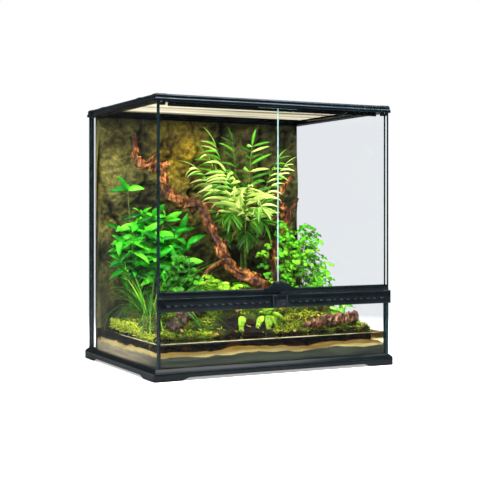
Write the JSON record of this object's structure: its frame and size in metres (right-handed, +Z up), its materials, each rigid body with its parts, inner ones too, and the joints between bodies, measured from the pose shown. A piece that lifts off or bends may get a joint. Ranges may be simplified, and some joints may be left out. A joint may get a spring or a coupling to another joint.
{
  "type": "reptile terrarium",
  "caption": "Front-opening glass terrarium with double doors, vent strip, screen top and black frames, planted with driftwood, palm, ferns, moss, sand and water.",
  "frame": {"origin": "on the ground, below the middle of the tank", "axes": "+X to the right seen from the front, +Y to the back, +Z up"},
  "size_m": [0.618, 0.466, 0.62],
  "materials": {
    "clear_glass": "clear float glass with polished edges",
    "black_plastic": "satin black moulded plastic",
    "black_silicone": "black sealant",
    "steel_pin": "steel wire pin",
    "foam_rock": "painted foam rock relief",
    "sand": "fine quartz sand",
    "water": "murky still water",
    "soil": "dark planting soil",
    "moss": "living moss",
    "driftwood": "weathered reddish driftwood",
    "dark_wood": "wet dark bark",
    "leaves": "green foliage",
    "wire_mesh": "fine woven screen"
  },
  "bodies": {
    "tank": {"base_frame": "black_plastic", "bottom_glass": "clear_glass", "back_glass": "clear_glass", "left_glass": "clear_glass", "right_glass": "clear_glass", "front_glass": "clear_glass", "silicone_seams": "black_silicone", "vent_strip": "black_plastic", "lock_plate": "black_plastic", "top_frame": "black_plastic", "rim_corners": "black_plastic", "cable_bridge": "black_plastic", "lower_hinge_pins": "steel_pin", "upper_hinge_pins": "steel_pin", "background_panel": "foam_rock", "sand_bed": "sand", "water": "water", "soil_bank": "soil", "moss_carpet": "moss", "moss_mound": "moss", "main_branch": "driftwood", "upright_branch": "driftwood", "left_log": "dark_wood", "right_log": "dark_wood", "palm": "leaves", "bush": "leaves", "grass": "leaves", "round_leaf_plant": "leaves", "bright_fern": "leaves", "front_fern": "leaves", "maidenhair_fern": "leaves", "broad_leaf_plant": "leaves"},
    "left_door": {"left_door_glass": "clear_glass", "left_door_rail": "black_plastic", "left_hinge_cap": "black_plastic"},
    "right_door": {"right_door_glass": "clear_glass", "right_door_rail": "black_plastic", "right_hinge_cap": "black_plastic"},
    "lock_catch": {"lock_slide": "black_plastic"},
    "screen_cover": {"cover_frame": "black_plastic", "cover_mesh": "wire_mesh"},
    "clip_front_left": {"front_left_clip": "black_plastic"},
    "clip_front_right": {"front_right_clip": "black_plastic"},
    "clip_back_left": {"back_left_clip": "black_plastic"},
    "clip_back_right": {"back_right_clip": "black_plastic"},
    "shutter_left": {"left_port_shutter": "black_plastic"},
    "shutter_right": {"right_port_shutter": "black_plastic"}
  },
  "joints": [
    {"name": "left_door_hinge", "type": "hinge", "parent": "tank", "child": "left_door", "pos_m": [-0.2895, -0.22, 0.39], "axis": [0, 0, -1], "range_deg": [0, 105]},
    {"name": "right_door_hinge", "type": "hinge", "parent": "tank", "child": "right_door", "pos_m": [0.2895, -0.22, 0.39], "axis": [0, 0, 1], "range_deg": [0, 105]},
    {"name": "lock_slide_up", "type": "slide", "parent": "tank", "child": "lock_catch", "axis": [0, 0, 1], "range_m": [0, 0.008]},
    {"name": "cover_lift", "type": "slide", "parent": "tank", "child": "screen_cover", "axis": [0, 0, 1], "range_m": [0, 0.06]},
    {"name": "clip_front_left_in", "type": "slide", "parent": "tank", "child": "clip_front_left", "axis": [1, 0, 0], "range_m": [0, 0.006]},
    {"name": "clip_front_right_in", "type": "slide", "parent": "tank", "child": "clip_front_right", "axis": [-1, 0, 0], "range_m": [0, 0.006]},
    {"name": "clip_back_left_in", "type": "slide", "parent": "tank", "child": "clip_back_left", "axis": [1, 0, 0], "range_m": [0, 0.006]},
    {"name": "clip_back_right_in", "type": "slide", "parent": "tank", "child": "clip_back_right", "axis": [-1, 0, 0], "range_m": [0, 0.006]},
    {"name": "shutter_left_open", "type": "slide", "parent": "tank", "child": "shutter_left", "axis": [1, 0, 0], "range_m": [0, 0.058]},
    {"name": "shutter_right_open", "type": "slide", "parent": "tank", "child": "shutter_right", "axis": [-1, 0, 0], "range_m": [0, 0.058]}
  ]
}
